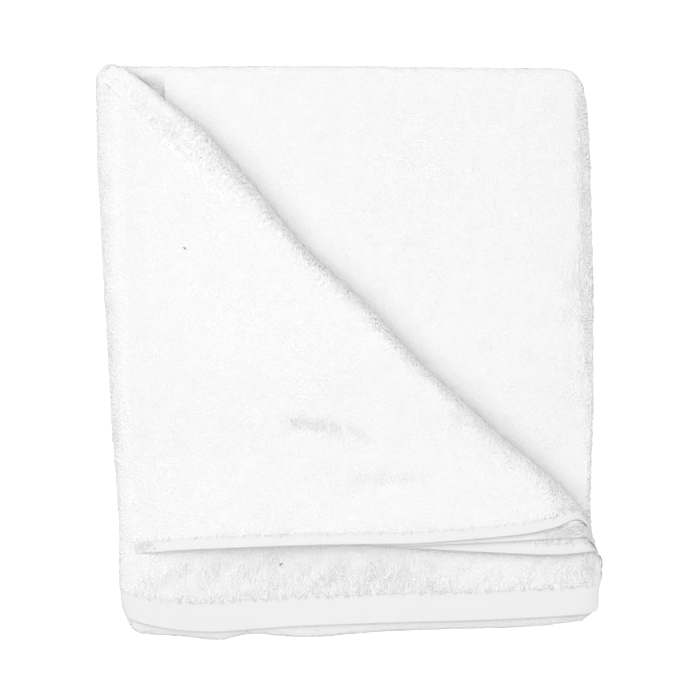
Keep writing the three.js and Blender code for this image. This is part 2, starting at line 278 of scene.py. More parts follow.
# Half the thickness of the cloth without its pile, and of its hems
CLOTH_HALF = 1.4
HEM_HALF = 1.2

# How the pile's loops are spread over the cloth, in millimetres, with spare ones where it is stretched
PILE_SEED = 5
PILE_PITCH = 1.62
PILE_JITTER = 0.45
PILE_STRETCH = 1.25
PILE_SPARE = 2
PILE_CELL = 1.25
LOOPS_A_PIECE = 24000

# One loop of the pile: its length, width, heights and lean, in millimetres
LOOP_LONG = 1.7
LOOP_WIDE = 0.6
LOOP_ROOT = -0.3
LOOP_WAIST = 0.2
LOOP_TIP = 0.6
LOOP_LEAN = 0.4
LOOP_FALL = 1
LOOP_SIZE = (0.8, 1.2)

# Where the pile stands open: how its loops are shaded and raised there, and what opens it
LOOP_FLAT = 0.5
LOOP_OPEN = 1
LOOP_RISE, LOOP_SINK = 1.3, 0.35
OPEN_FROM, OPEN_TO = 0.06, 0.34
OPEN_SLOPE = 0.4
OPEN_AWAY = np.array((0.5, -0.5))
OPEN_AT_HEM, OPEN_HEM_WIDTH = 0.55, 6
STREAK_FROM, STREAK_TO = 0.05, 0.45
STREAK_SPREAD = 0.4
PATCHY = 0.22
PATCH_WIDE, PATCH_LONG = 6.1, 8.3
PATCH_BEND = 2
PATCH_TURNS = (0.8, 0.7)

# Where the pile is brushed open, or flat where the amount is below nought: start x and y, end x and y,
# width, amount
BRUSHED = (
    (-150, -160, 172, -160, 18, 0.35),
    (-86, -160, 87, -162, 16, 0.45),
    (-125, 172, 60, -22, 6, 0.6),
    (168, 73, 168, 16, 15, 0.6),
    (-46, -50, 18, -63, 7, 0.6),
    (-8, -93, 54, -89, 6, 0.65),
    (-176.5, 170, -163.5, -130, 5, 0.6),
    (-150, -157, -90, -158, 15, 0.3),
    (66, -35, 123, -85, 9, 0.5),
    (-165, 193, -80, 108, 9, 0.5),
    (179, 190, 182, -120, 6, -2),
    (182, -130, 183, -195, 5, -2),
    (-230, -204, 250, -200, 8, -2),
)

# Where the pile splays over a side hem: across from and to, along from and to
SPLAYED = (
    (1.5, 8, FIRST_FOLD - 6, FIRST_FOLD + CROSS_ARC + 10),
    (692, 699, SECOND_FOLD - 100, SECOND_FOLD - 50),
)

# How far the pile hangs ragged over the edge of a hem, the waves that its edge follows, and how much of
# the step to a hem it may cover
RAGGED = 1.3
RAGGED_RATES = ((0.52, 0.11), (0.09, 0.31), (0.13, -0.17))
SPLAY_RAGGED = 4
HEM_CLEAR = 0.8

# Where the pile can be seen: name, across from and to, along from and to, what part of that is open, and
# which face of the cloth it is on
PILE_ZONES = (
    ("strip_pile", 0, 340, 0, FIRST_FOLD - 8, "uncovered", 1),
    ("back_fold_pile", 0, 340, FIRST_FOLD - 8, FIRST_FOLD + CROSS_ARC + 8, "all", 1),
    ("flap_pile", 0, 340, FIRST_FOLD + CROSS_ARC + 8, SECOND_FOLD, "turned", 1),
    ("triangle_pile", 0, 340, SECOND_FOLD + CROSS_ARC, THIRD_FOLD - 8, "turned", 1),
    ("lower_back_pile", 0, 340, THIRD_FOLD - 8, THIRD_FOLD + CROSS_ARC + 8, "all", 1),
    ("left_fold_pile", 340, 360, 0, CUT_LENGTH, "all", 1),
    ("front_fold_pile", 360, 700, SECOND_FOLD - 15, SECOND_FOLD + CROSS_ARC + 15, "all", 1),
    ("upper_fan_pile", 670, 700, SECOND_FOLD - 130, SECOND_FOLD - 40, "turned", -1),
    ("lower_fan_pile", 670, 700, 45, 125, "turned", 1),
)

# What is open: the strip in front of the turned corner, the left rim, and the cloth past the crease
STRIP_DEPTH = 335
LEFT_RIM = 28
CREASE_MARGIN = 4

# How far apart the folded cloth is measured to find which way it faces, along it and off it
FRAME_STEP = 0.6
FRAME_LIFT = 0.2

# Small dark specks of lint on the cloth: across, along and radius
SPECKS = ((211.2, 450.2, 0.7), (232.8, 45.6, 1.1), (167.8, 43.9, 0.6))
SPECK_COLOUR = (0.3, 0.29, 0.28)

# The look of the terry: its mottling, the relief of its loops and yarn, and its shine
MOTTLE_TONE = 0.975
MOTTLE_SCALE, MOTTLE_DETAIL = 45, 3
LOOP_SCALE = 620
YARN_SCALE, YARN_DETAIL = 2400, 2
BUMP_STRENGTH, BUMP_DEPTH = 0.35, 0.0004
SHEEN_ROUGHNESS = 0.5
SPECULAR = 0.2

# The look of the hems: how much darker they are painted, as painted shade, how far that reaches past the
# seam, and their threads
HEM_PAINTED_SHADE = 0.93
HEM_LOOK = 0.5
WEAVE_RATE = 2 * math.pi / 0.0009

# The floor, in metres: its colour, and how bright it shines from below against the light from above
FLOOR_SIZE = 12
FLOOR_COLOUR = (0.85, 0.85, 0.85, 1)
FLOOR_ROUGHNESS = 0.9
FLOOR_SHINE = 0.5
FLOOR_GLOW = 3
HORIZON = 0.3

# The lights and the camera, in metres and radians
LAMP_SIZE = 0.4
LAMP_PLACE = (-0.12, 0.05, 0.8)
OVERHEAD_SPREAD = 1.6
OVERHEAD_PLACE = (-0.08, 0.17, 1)
CAMERA_X, CAMERA_Y = 0.0007, 0.0014
VIEW_PLANE = 0.01


def smooth(start, end, value):
    """Nought before start, one past end, and a soft step between them."""
    s = np.clip((value - start) / (end - start), 0, 1)
    return s * s * (3 - 2 * s)


def blend(a, b, share):
    """The value that share of the way from a to b."""
    return a + (b - a) * share


def table_at(rows, column, at):
    """A smooth curve through one column of a table, whose first column is the place."""
    key, value = rows[:, 0], rows[:, column]
    last = len(rows) - 1
    x = np.clip(at, key[0], key[last])
    i = np.clip(np.searchsorted(key, x, side="left") - 1, 0, last - 1)
    before, after = np.maximum(i - 1, 0), np.minimum(i + 2, last)
    start_slope = (value[i + 1] - value[before]) / (key[i + 1] - key[before])
    end_slope = (value[after] - value[i]) / (key[after] - key[i])
    span = key[i + 1] - key[i]
    s = (x - key[i]) / span
    rest = 1 - s
    ends = value[i] * (1 + 2 * s) * rest**2 + value[i + 1] * (3 - 2 * s) * s**2
    return ends + span * (start_slope * s * rest**2 - end_slope * rest * s**2)


def tuck_at(v):
    """How much of the upper ply's side hem is tucked under, next to a place along the cloth."""
    at_strip = 1 - smooth(*TUCK_STRIP, v)
    at_triangle = smooth(*TUCK_TRIANGLE, v)
    return TUCK * (at_strip + at_triangle)


def fold_across(u, v, offset):
    """The lengthwise fold: how far across a point is, and how far off the middle of its two plies."""
    from_fold = CUT_WIDTH / 2 - u
    radius = PITCH / 2 + offset
    turn = from_fold / (PITCH / 2)
    in_fold = np.abs(from_fold) < SIDE_ARC
    across = np.where(in_fold, PITCH - radius * np.cos(turn), PITCH + np.abs(from_fold) - SIDE_ARC)
    lift = np.where(in_fold, radius * np.sin(turn), np.sign(from_fold) * radius)

    tuck = tuck_at(v)
    wrapped = np.maximum(tuck - u, 0)
    angle = np.minimum(wrapped / (PITCH / 2), math.pi)
    under = wrapped - angle * PITCH / 2
    centre = ACROSS_END - TUCK_EDGE * np.minimum(tuck / TUCK, 1)
    drawn_out = (centre - ACROSS_END + tuck) * (1 - smooth(tuck, tuck + TUCK_EASE, u))
    drawn_in = TUCK_SHORT * tuck / TUCK * smooth(CUT_WIDTH - TUCK_EASE, CUT_WIDTH, u)
    across = np.where(wrapped > 0, centre + radius * np.sin(angle) - under, across + drawn_out - drawn_in)
    return across, np.where(wrapped > 0, radius * np.cos(angle), lift)


def fold_along(v, lift):
    """The crosswise folds: the depth and height of a point that is lift off the middle of its two plies."""
    first, second, third = (
        np.clip((v - start) / CROSS_ARC, 0, 1) * math.pi for start in (FIRST_FOLD, SECOND_FOLD, THIRD_FOLD)
    )
    depth = np.where(v < FIRST_FOLD, HEM_DEPTH - v, BACK_CENTRE)
    depth = np.where(v > FIRST_FOLD + CROSS_ARC, BACK_CENTRE + v - FIRST_FOLD - CROSS_ARC, depth)
    depth = np.where(v > SECOND_FOLD, FRONT_CENTRE, depth)
    depth = np.where(v > SECOND_FOLD + CROSS_ARC, FRONT_CENTRE - v + SECOND_FOLD + CROSS_ARC, depth)
    depth = np.where(v > THIRD_FOLD, BACK_CENTRE, depth)
    depth = np.where(v > THIRD_FOLD + CROSS_ARC, BACK_CENTRE + v - THIRD_FOLD - CROSS_ARC, depth)
    height = SECTION * 3 + PITCH * np.cos(first)
    height = np.where(v > SECOND_FOLD, SECTION * 2 + PITCH * np.cos(second), height)
    height = np.where(v > THIRD_FOLD, SECTION + PITCH * np.cos(third), height)
    facing = np.cos(first) * np.where(v > SECOND_FOLD, np.cos(second), 1)
    facing = facing * np.where(v > THIRD_FOLD, np.cos(third), 1)
    depth = depth + PITCH * (-np.sin(first) + np.sin(second) - np.sin(third))
    depth = depth + lift * (-np.sin(first) - np.sin(second) - np.sin(third))
    return depth, height + lift * facing


def round_corner(from_side, from_end, radius):
    """Pulls a square corner in to a round one: the distances from its two edges go in and come out."""
    inside = (from_side < radius) & (from_end < radius)
    side, end = 1 - from_side / radius, 1 - from_end / radius
    round_side = side * np.sqrt(np.maximum(1 - end**2 / 2, 0))
    round_end = end * np.sqrt(np.maximum(1 - side**2 / 2, 0))
    return (
        np.where(inside, radius * (1 - round_side), from_side),
        np.where(inside, radius * (1 - round_end), from_end),
    )


def plan_of(across, depth, v):
    """Where a point of the stack lies in plan, before the corner is turned."""
    lower = smooth(*TO_LOWER, v)
    back_half = depth < FRONT_DEPTH / 2
    right, back = round_corner(ACROSS_END - across, depth, blend(UPPER_BACK_CORNER, LOWER_BACK_CORNER, lower))
    front_right, front = round_corner(ACROSS_END - across, FRONT_DEPTH - depth, FRONT_RIGHT_CORNER)
    front_left = blend(UPPER_FRONT_LEFT_CORNER, LOWER_FRONT_LEFT_CORNER, lower)
    left, front = round_corner(across, front, front_left)
    back_left, back = round_corner(across, back, BACK_LEFT_CORNER)
    from_right = np.where(back_half, right, front_right)
    from_left = np.where(back_half, back_left, left)
    from_back = np.where(back_half, back, FRONT_DEPTH - front)
    rounded = from_left + ACROSS_END - across - from_right
    below = smooth(*TO_FOLD, v)
    hem_reach = table_at(FRONTS, 1, rounded) / HEM_DEPTH
    fold_reach = table_at(FRONTS, 2, rounded) / FRONT_DEPTH
    down = from_back * blend(hem_reach, fold_reach, below)
    left_side = table_at(SIDES, 1, down)
    right_side = blend(table_at(SIDES, 2, down), table_at(SIDES, 3, down), lower)
    reach = blend(table_at(BACKS, 2, rounded), table_at(BACKS, 1, rounded), lower)
    reach = reach * (1 - smooth(0, BACK_EASE, down))
    return left_side + (right_side - left_side) * rounded / ACROSS_END, BACK_Y - down + reach


def crease_of(x, y, depth, height):
    """How a point lies to the crease: along it, past it, its radius and the cloth that its turn takes."""
    from_x, from_y = x - CREASE_START[0], y - CREASE_START[1]
    along = from_x * CREASE_ALONG[0] + from_y * CREASE_ALONG[1]
    past = from_x * CREASE_ACROSS[0] + from_y * CREASE_ACROSS[1]
    radius = CREASE_TOP - height
    lowest = TURNED_PLIES - 1
    ply = np.clip(lowest / 2 - (radius - CREASE_RADIUS) / PITCH, 0, lowest)
    ply = np.floor(ply) + smooth(*PLY_EDGE, ply - np.floor(ply))
    own = sum(np.maximum(1 - np.abs(ply - i), 0) * table_at(FAN, 1 + i, depth) for i in range(TURNED_PLIES))
    return along, past, radius, math.pi * CREASE_RADIUS + own


def turn_corner(x, y, depth, height):
    """Turns the corner over its crease."""
    along, past, radius, turn = crease_of(x, y, depth, height)
    angle = np.pi * np.clip(past / turn, 0, 1)
    swell = table_at(ROLL, 1, along)
    outward = np.abs(np.sin(angle)) ** CREASE_SQUARE
    upward = -np.sign(np.cos(angle)) * np.abs(np.cos(angle)) ** CREASE_SQUARE
    out = np.where(past < turn, swell * radius * outward, turn - past)
    up = CREASE_TOP + radius * upward + CREASE_LOFT * (1 + upward) / 2
    turned = past > 0
    return (
        np.where(turned, CREASE_START[0] + CREASE_ALONG[0] * along + CREASE_ACROSS[0] * out, x),
        np.where(turned, CREASE_START[1] + CREASE_ALONG[1] * along + CREASE_ACROSS[1] * out, y),
        np.where(turned, up, height),
    )


def near_edge(distance, slope):
    """The share of the height lost at a distance from an edge."""
    share, width = slope
    return share * np.clip(1 - distance / width, 0, SLOPE_PAST) ** 2


def near_line(x, y, line, width):
    """One on the middle of a line, fading softly to nought beside it and past its ends."""
    start, run = line[:2], (line[2] - line[0], line[3] - line[1])
    at = ((x - start[0]) * run[0] + (y - start[1]) * run[1]) / (run[0] ** 2 + run[1] ** 2)
    off = np.hypot(x - start[0] - run[0] * at, y - start[1] - run[1] * at) / width
    return np.exp(-off * off - (2 * at - 1) ** 4)


def in_hollow(x, y):
    """One inside the hollow, nothing outside it."""
    from_left = smooth(HOLLOW_LEFT - HOLLOW_BLUR, HOLLOW_LEFT, x)
    from_right = 1 - smooth(HOLLOW_RIGHT - HOLLOW_EDGE, HOLLOW_RIGHT, x)
    from_front = smooth(HOLLOW_FRONT - HOLLOW_BLUR, HOLLOW_FRONT, y)
    from_back = 1 - smooth(HOLLOW_BACK - HOLLOW_SLOPE, HOLLOW_BACK, y)
    return from_left * from_right * from_front * from_back


def height_share(x, y, lower):
    """The share of its height that the stack keeps at a place; lower is one for sections 3 and 4."""
    down = BACK_Y - y
    share = 1 - near_edge(x - table_at(SIDES, 1, down), SLOPE_LEFT)
    from_right = table_at(SIDES, 4, down) - x
    share *= 1 - near_edge(from_right, SLOPE_RIGHT) - near_edge(from_right, RIM_RIGHT)
    share *= 1 - near_edge(down, SLOPE_BACK)
    share *= 1 - near_edge(FRONT_DEPTH - down, SLOPE_FRONT)
    for x0, y0, x1, y1, width, depth in TROUGHS:
        share *= 1 - depth * near_line(x, y, (x0, y0, x1, y1), width)
    share *= 1 + WAVE_SHARE * np.sin(x / WAVE_ACROSS) * np.sin(y / WAVE_ALONG)
    return share * (1 - HOLLOW_SHARE * in_hollow(x, y) * lower)


def wrinkle(u, v):
    """A slight waviness of the cloth, off its middle, in millimetres."""
    random = np.random.default_rng(WRINKLE_SEED)
    way = random.uniform(0, 2 * math.pi, WRINKLE_COUNT)
    start = random.uniform(0, 2 * math.pi, WRINKLE_COUNT)
    rate = 2 * math.pi / random.uniform(WRINKLE_SHORTEST, WRINKLE_LONGEST, WRINKLE_COUNT)
    total = np.zeros(np.shape(u))
    for angle, phase, fast in zip(way, start, rate):
        total = total + np.sin(fast * (u * math.cos(angle) + v * math.sin(angle)) + phase)
    return WRINKLE_HEIGHT * total / math.sqrt(WRINKLE_COUNT)


def press_flap(x, y, z, depth):
    """Presses the turned corner down towards its left fold, and the fold itself into the stack below."""
    above = np.maximum(z - CREASE_TOP, 0)
    from_left = x - table_at(SIDES, 1, BACK_Y - y) - FLAP_PRESS_FROM
    pressed = FLAP_PRESS * (1 - smooth(0, FLAP_PRESS_WIDTH, from_left))
    from_fold = smooth(0, FOLD_PRESS_WIDTH, depth)
    pressed = blend(FOLD_PRESS, pressed, from_fold)
    return z - above * pressed - FOLD_SINK * (1 - from_fold) * np.minimum(above * FOLD_SINK_RATE, 1)


def lay(u, v, offset):
    """Where points of the flat cloth lie in the stack, as rows of x, y, z in millimetres."""
    across, lift = fold_across(u, v, offset + wrinkle(u, v))
    depth, height = fold_along(v, lift)
    height = height - FOOT
    flat_x, flat_y = plan_of(across, depth, v)
    upper = v < SECOND_FOLD + CROSS_ARC / 2
    turned = turn_corner(flat_x, flat_y, depth, height)
    x, y, z = (np.where(upper, new, old) for new, old in zip(turned, (flat_x, flat_y, height)))
    z = press_flap(x, y, z, depth) - SECTION * smooth(*STEP_DOWN, BACK_Y - y)
    z = z * height_share(x, y, np.where(upper, 0, 1))
    return np.stack((x, y, z), axis=1)


def spread(rows):
    """The places of the lines that a table of from, to and widest step asks for."""
    lines = [np.linspace(a, b, max(1, math.ceil((b - a) / step)) + 1)[:-1] for a, b, step in rows]
    return np.concatenate([*lines, [rows[-1][1]]])


def past_hem(u, v):
    """How far inside the nearest hem's seam a place on the flat cloth is; below nought on the hem."""
    return np.minimum(np.minimum(u, CUT_WIDTH - u) - SIDE_HEM, np.minimum(v, CUT_LENGTH - v) - END_HEM)


def in_hem(u, v):
    """One on the flat woven hems, nought on the terry, and a short step between them."""
    return 1 - smooth(0, HEM_STEP, past_hem(u, v))


def half_thickness(u, v):
    """Half the thickness of the cloth without its pile."""
    return blend(CLOTH_HALF, HEM_HALF, in_hem(u, v))


def places(mesh):
    """The points of a mesh, as rows of x, y, z."""
    flat = np.empty(len(mesh.vertices) * 3)
    mesh.vertices.foreach_get("co", flat)
    return flat.reshape(-1, 3)


def move(mesh, points):
    """Puts the points of a mesh at new places."""
    mesh.vertices.foreach_set("co", np.ascontiguousarray(points, dtype=np.float64).ravel())
    mesh.update()


def put_cloth_places(mesh, u, v):
    """Gives each point of a mesh the place on the flat cloth that it belongs to, in metres, as a UV map."""
    layer = mesh.uv_layers.new(name="cloth")
    corner = np.empty(len(mesh.loops), dtype=np.int32)
    mesh.loops.foreach_get("vertex_index", corner)
    layer.data.foreach_set("uv", (np.stack((u, v), axis=1)[corner] * MM).ravel())


def smooth_faces(mesh):
    """Shades every face of a mesh smoothly."""
    mesh.polygons.foreach_set("use_smooth", np.ones(len(mesh.polygons), dtype=bool))


def put_in_scene(mesh, name):
    """Shows a finished mesh as a piece that rides on the towel's body."""
    piece = bpy.data.objects.new(name, mesh)
    bpy.context.scene.collection.objects.link(piece)
    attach(piece, BODY)
    return piece


def flat_slab():
    """The cloth before it is folded: a thin slab whose points hold across, along and side of the cloth.

    Its faces look inwards, as folding mirrors them.
    """
    columns, rows = spread(CLOTH_COLUMNS), spread(CLOTH_SECTIONS)
    bm = bmesh.new()
    bmesh.ops.create_grid(bm, x_segments=len(columns) - 1, y_segments=len(rows) - 1, size=0.5)
    for point in bm.verts:
        column = round((point.co.x + 0.5) * (len(columns) - 1))
        row = round((point.co.y + 0.5) * (len(rows) - 1))
        point.co = (columns[column], rows[row], -1)
    made = bmesh.ops.extrude_face_region(bm, geom=bm.faces[:], use_keep_orig=True)
    top = [part for part in made["geom"] if isinstance(part, bmesh.types.BMVert)]
    bmesh.ops.translate(bm, verts=top, vec=(0, 0, 2))
    bmesh.ops.recalc_face_normals(bm, faces=bm.faces)
    bmesh.ops.reverse_faces(bm, faces=bm.faces)
    mesh = bpy.data.meshes.new("folded_cloth")
    bm.to_mesh(mesh)
    bm.free()
    return mesh


def loop_shape():
    """One loop of the pile, on a flat cloth: the points of a small tapered nub, and its faces."""
    bm = bmesh.new()
    bmesh.ops.create_uvsphere(bm, u_segments=4, v_segments=2, radius=1)
    bm.verts.ensure_lookup_table()
    points = np.array([point.co[:] for point in bm.verts])
    faces = np.array([[point.index for point in face.verts] for face in bm.faces])
    bm.free()
    tip, root = points[:, 2] > 0.5, points[:, 2] < -0.5
    points[:, :2] *= (LOOP_LONG, LOOP_WIDE)
    points[:, 2] = np.where(tip, LOOP_TIP, np.where(root, LOOP_ROOT, LOOP_WAIST))
    return points, faces, tip


def open_loops(u, v, part):
    """Which loops of the pile can be seen, given what part of their zone is open."""
    if part == "all":
        return np.ones(len(u), dtype=bool)
    across, lift = fold_across(u, v, np.zeros(len(u)))
    depth, height = fold_along(v, lift)
    if part == "uncovered":
        return (depth > STRIP_DEPTH) | (across < LEFT_RIM)
    x, y = plan_of(across, depth, v)
    past = (x - CREASE_START[0]) * CREASE_ACROSS[0] + (y - CREASE_START[1]) * CREASE_ACROSS[1]
    return past > -CREASE_MARGIN


def face_frame(u, v, face):
    """Where the cloth's face lies, its own side, ahead and up, and how far it is stretched there.

    A face of 1 is the outer one of the folded cloth, -1 the inner one.
    """
    top = face * half_thickness(u, v)
    base = lay(u, v, top)
    along_u = (lay(u + FRAME_STEP, v, top) - lay(u - FRAME_STEP, v, top)) / (2 * FRAME_STEP)
    along_v = (lay(u, v + FRAME_STEP, top) - lay(u, v - FRAME_STEP, top)) / (2 * FRAME_STEP)
    outward = lay(u, v, top + FRAME_LIFT * face) - base
    up = np.cross(along_u, along_v)
    stretch = np.linalg.norm(up, axis=1)
    up /= stretch[:, None]
    up *= np.sign(np.sum(up * outward, axis=1, keepdims=True))
    side = along_u / np.linalg.norm(along_u, axis=1, keepdims=True)
    return base, side, np.cross(up, side), up, stretch


def on_cloth(u, v, face):
    """Where a face of the folded cloth's own mesh lies, between the lines that it was made with."""
    columns, rows = spread(CLOTH_COLUMNS), spread(CLOTH_SECTIONS)
    across, along = np.meshgrid(columns, rows)
    across, along = across.ravel(), along.ravel()
    made = lay(across, along, face * half_thickness(across, along)).reshape(len(rows), len(columns), 3)
    column = np.clip(np.searchsorted(columns, u) - 1, 0, len(columns) - 2)
    row = np.clip(np.searchsorted(rows, v) - 1, 0, len(rows) - 2)
    right = ((u - columns[column]) / (columns[column + 1] - columns[column]))[:, None]
    ahead = ((v - rows[row]) / (rows[row + 1] - rows[row]))[:, None]
    near = blend(made[row, column], made[row, column + 1], right)
    far = blend(made[row + 1, column], made[row + 1, column + 1], right)
    return blend(near, far, ahead)


def patches(x, y):
    """Soft patches of more and less open pile, between -1 and 1."""
    x, y = x / PATCH_WIDE, y / PATCH_LONG
    across, along = PATCH_TURNS
    return np.sin(x + PATCH_BEND * np.sin(y * across)) * np.sin(y + PATCH_BEND * np.sin(x * along))


def openness_at(base, up, from_hem):
    """How far the pile stands open, up to 1, or lies flat, down to -1.

    It opens where the cloth slopes to the front or right, where it is brushed, and next to the hems.
    """
    slope = OPEN_SLOPE * np.hypot(up[:, 0], up[:, 1]) + up[:, :2] @ OPEN_AWAY
    total = smooth(OPEN_FROM, OPEN_TO, slope) + OPEN_AT_HEM * (1 - smooth(0, OPEN_HEM_WIDTH, from_hem))
    x, y = base[:, 0], base[:, 1]
    total = total + PATCHY * patches(x, y)
    for x0, y0, x1, y1, width, amount in BRUSHED:
        total = total + amount * near_line(x, y, (x0, y0, x1, y1), width)
    return np.clip(total, -1, 1)


def loop_points(base, axes, opened, random):
    """Where the points of every loop lie: each is turned, raised and leant a little at random."""
    shape, faces, tip = loop_shape()
    side, ahead, up = axes
    count = len(base)
    forward = np.arctan2(ahead[:, 1], side[:, 1])
    spread_by = blend(math.pi / 2, STREAK_SPREAD, smooth(STREAK_FROM, STREAK_TO, opened))
    turn = (forward + random.uniform(-1, 1, count) * spread_by)[:, None]
    x = shape[None, :, 0] * np.cos(turn) - shape[None, :, 1] * np.sin(turn)
    y = shape[None, :, 0] * np.sin(turn) + shape[None, :, 1] * np.cos(turn)
    rise = 1 + opened * np.where(opened > 0, LOOP_RISE, LOOP_SINK)
    size = (random.uniform(*LOOP_SIZE, count) * rise)[:, None]
    z = np.broadcast_to(shape[None, :, 2], x.shape) * size
    fall = up * (1, 1, 0) * LOOP_FALL
    lean = random.uniform(-LOOP_LEAN, LOOP_LEAN, (count, 3)) + fall
    lean = lean - up * np.sum(fall * up, axis=1, keepdims=True)
    points = (
        base[:, None, :]
        + side[:, None, :] * x[:, :, None]
        + ahead[:, None, :] * y[:, :, None]
        + up[:, None, :] * z[:, :, None]
        + lean[:, None, :] * tip[None, :, None]
    )
    points[:, :, 2] = np.maximum(points[:, :, 2], 0)
    return points, faces


def shade_loops(mesh, up, opened):
    """Turns the loops' normals part of the way to the cloth's own, and less where the pile stands open."""
    own = np.empty(len(mesh.vertices) * 3)
    mesh.vertices.foreach_get("normal", own)
    each = len(mesh.vertices) // len(up)
    share = blend(LOOP_FLAT, np.where(opened > 0, LOOP_OPEN, 0), np.abs(opened))
    share = np.repeat(share, each)[:, None]
    soft = blend(np.repeat(up, each, axis=0), own.reshape(-1, 3), share)
    mesh.normals_split_custom_set_from_vertices(soft / np.linalg.norm(soft, axis=1, keepdims=True))


def plant_loops(name, u, v, face):
    """Plants a loop of the pile at each of many places on the folded cloth, joined into one mesh."""
    count = len(u)
    random = np.random.default_rng(PILE_SEED + count)
    side, ahead, up = face_frame(u, v, face)[1:4]
    base = on_cloth(u, v, face)
    opened = openness_at(base, up, past_hem(u, v))
    points, faces = loop_points(base, (side, ahead, up), opened, random)
    each = points.shape[1]
    corners = faces[None, :, :] + (np.arange(count) * each)[:, None, None]
    mesh = bpy.data.meshes.new(name)
    mesh.from_pydata((points.reshape(-1, 3) * MM).tolist(), [], corners.reshape(-1, faces.shape[1]).tolist())
    put_cloth_places(mesh, np.repeat(u, each), np.repeat(v, each))
    smooth_faces(mesh)
    shade_loops(mesh, up, opened)
    return mesh


def splayed_over_hem(u, v):
    """Where the pile splays over a side hem and hides it."""
    inside = [(u > u0) & (u < u1) & (v > v0) & (v < v1) for u0, u1, v0, v1 in SPLAYED]
    return np.any(inside, axis=0)


def clear_of_hems(u, v, random):
    """Which places lie off the hems, along a ragged line, or where the pile splays over a hem."""
    waves = [np.sin((u * across + v * along) * 2 * math.pi) for across, along in RAGGED_RATES]
    ragged = RAGGED * (sum(waves) + random.uniform(-1, 1, u.size)) / 2
    splayed = splayed_over_hem(u, v + SPLAY_RAGGED * ragged)
    return splayed | (in_hem(u + ragged, v + ragged) < HEM_CLEAR)


def pile_places(u_from, u_to, v_from, v_to, part, face):
    """Jittered rows of places for the loops of one zone, clear of the hems."""
    random = np.random.default_rng(PILE_SEED)
    u, v = np.meshgrid(np.arange(u_from, u_to, PILE_PITCH), np.arange(v_from, v_to, PILE_PITCH))
    u = u.ravel() + random.uniform(-PILE_JITTER, PILE_JITTER, u.size)
    v = v.ravel() + random.uniform(-PILE_JITTER, PILE_JITTER, v.size)
    kept = clear_of_hems(u, v, random) & open_loops(u, v, part)
    u, v = u[kept], v[kept]
    stretch = face_frame(u, v, face)[4]
    copies = np.where(stretch > PILE_STRETCH, np.ceil(stretch * PILE_SPARE), 1).astype(int)
    u, v, spare = np.repeat(u, copies), np.repeat(v, copies), np.repeat(copies, copies) > 1
    u = u + random.uniform(-PILE_PITCH, PILE_PITCH, u.size) / 2 * spare
    v = v + random.uniform(-PILE_PITCH, PILE_PITCH, v.size) / 2 * spare
    cells = np.floor(face_frame(u, v, face)[0] / PILE_CELL).astype(int)
    kept = np.sort(np.unique(cells, axis=0, return_index=True)[1])
    return u[kept], v[kept]


def add_node(nodes, kind, **values):
    """Adds a shader node and sets its properties, or else its inputs, by name."""
    made = nodes.new(kind)
    for key, value in values.items():
        if hasattr(made, key):
            setattr(made, key, value)
        else:
            made.inputs[key.replace("_", " ")].default_value = value
    return made


def calculate(tree, operation, *values):
    """The outcome of one calculation in a shader, from numbers and other nodes' outputs."""
    made = tree.nodes.new("ShaderNodeMath")
    made.operation = operation
    for socket, value in zip(made.inputs, values):
        if isinstance(value, bpy.types.NodeSocket):
            tree.links.new(value, socket)
        else:
            socket.default_value = value
    return made.outputs["Value"]


def mix_colour(tree, share, below, above):
    """One colour laid over another by a share; each colour is a row of numbers or another node's output."""
    made = tree.nodes.new("ShaderNodeMix")
    made.data_type = "RGBA"
    tree.links.new(share, made.inputs["Factor"])
    for name, colour in (("A", below), ("B", above)):
        if isinstance(colour, bpy.types.NodeSocket):
            tree.links.new(colour, made.inputs[name])
        else:
            made.inputs[name].default_value = (*colour, 1)
    return made.outputs["Result"]


def hem_share(tree, across, along):
    """One on the hems and nought on the terry, from the places on the flat cloth."""
    bands = []
    for place, size, hem in ((across, CUT_WIDTH, SIDE_HEM), (along, CUT_LENGTH, END_HEM)):
        from_middle = calculate(tree, "ABSOLUTE", calculate(tree, "SUBTRACT", place, size / 2 * MM))
        bands.append(calculate(tree, "GREATER_THAN", from_middle, (size / 2 - hem - HEM_LOOK) * MM))
    return calculate(tree, "MAXIMUM", *bands)


def speck_share(tree, cloth):
    """One on the specks and nought elsewhere."""
    total = None
    for u, v, radius in SPECKS:
        away = add_node(tree.nodes, "ShaderNodeVectorMath", operation="DISTANCE")
        away.inputs[1].default_value = (u * MM, v * MM, 0)
        tree.links.new(cloth, away.inputs[0])
        speck = calculate(tree, "LESS_THAN", away.outputs["Value"], radius * MM)
        total = speck if total is None else calculate(tree, "MAXIMUM", total, speck)
    return total


def weave_height(tree, across, along):
    """The relief of the woven hems: threads that pass over and under each other."""
    waves = [calculate(tree, "SINE", calculate(tree, "MULTIPLY", p, WEAVE_RATE)) for p in (across, along)]
    return calculate(tree, "MULTIPLY", *waves)


def cloth_colour(tree, cloth, hem, white):
    """The colour of the cotton: a little mottled, painted darker on the hems as painted shade, with a few
    specks of lint.
    """
    mottle = add_node(tree.nodes, "ShaderNodeTexNoise", Scale=MOTTLE_SCALE, Detail=MOTTLE_DETAIL)
    tree.links.new(cloth, mottle.inputs["Vector"])
    colour = mix_colour(tree, mottle.outputs["Fac"], [c * MOTTLE_TONE for c in white], white)
    # Painted shade: the hems are coloured darker than the terry, standing in for the shade they get in the
    # light.
    colour = mix_colour(tree, hem, colour, [c * HEM_PAINTED_SHADE for c in white])
    return mix_colour(tree, speck_share(tree, cloth), colour, SPECK_COLOUR)


